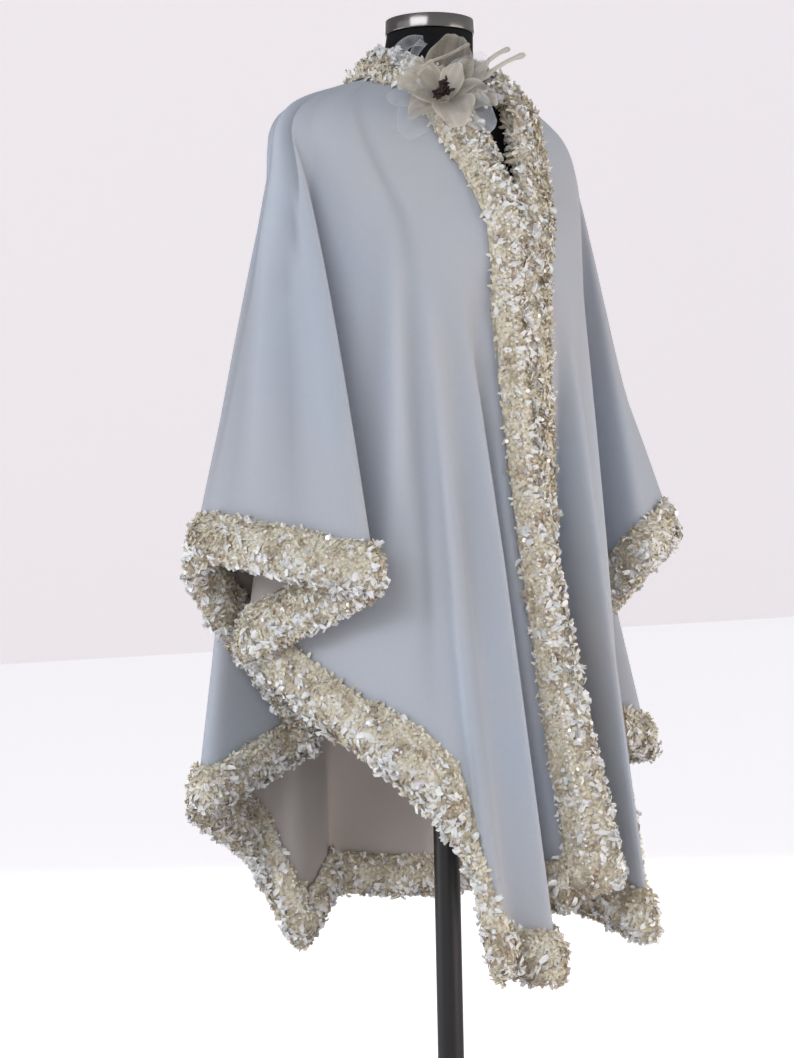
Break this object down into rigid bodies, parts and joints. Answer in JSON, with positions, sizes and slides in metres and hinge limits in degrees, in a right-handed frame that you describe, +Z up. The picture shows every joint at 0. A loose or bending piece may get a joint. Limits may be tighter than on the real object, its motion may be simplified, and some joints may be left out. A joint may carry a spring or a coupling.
{
  "type": "cape on a dress form",
  "caption": "Wide open-front wool cape with ruffled petal trim on every edge and an organza flower at the neck, on a limbless dress form.",
  "frame": {"origin": "middle of the stand base's underside, on the form's axis", "axes": "+Z up, the cape's front faces -Y and the wearer's right is -X"},
  "size_m": [0.7322, 0.5994, 1.5],
  "materials": {
    "wool": "napped",
    "ruffle": "ruffled organza",
    "organza": "sheer organza",
    "stamens": "beaded",
    "ribbon": "satin",
    "jersey": "plain knit",
    "chrome": "polished",
    "black_paint": "semi-gloss"
  },
  "bodies": {
    "root": {"form_torso": "jersey", "form_neck_cap": "chrome", "form_pole": "black_paint", "form_base": "black_paint", "cape_right_front": "wool", "cape_back": "wool", "cape_left_front": "wool", "right_hem_band": "ruffle", "back_hem_band": "ruffle", "left_hem_band": "ruffle", "right_front_band": "ruffle", "left_front_band": "ruffle", "neck_band": "ruffle", "flower_outer_petals": "organza", "flower_inner_petals": "organza", "ribbon_end_upper": "ribbon", "ribbon_end_lower": "ribbon", "flower_stamens": "stamens"}
  },
  "joints": []
}
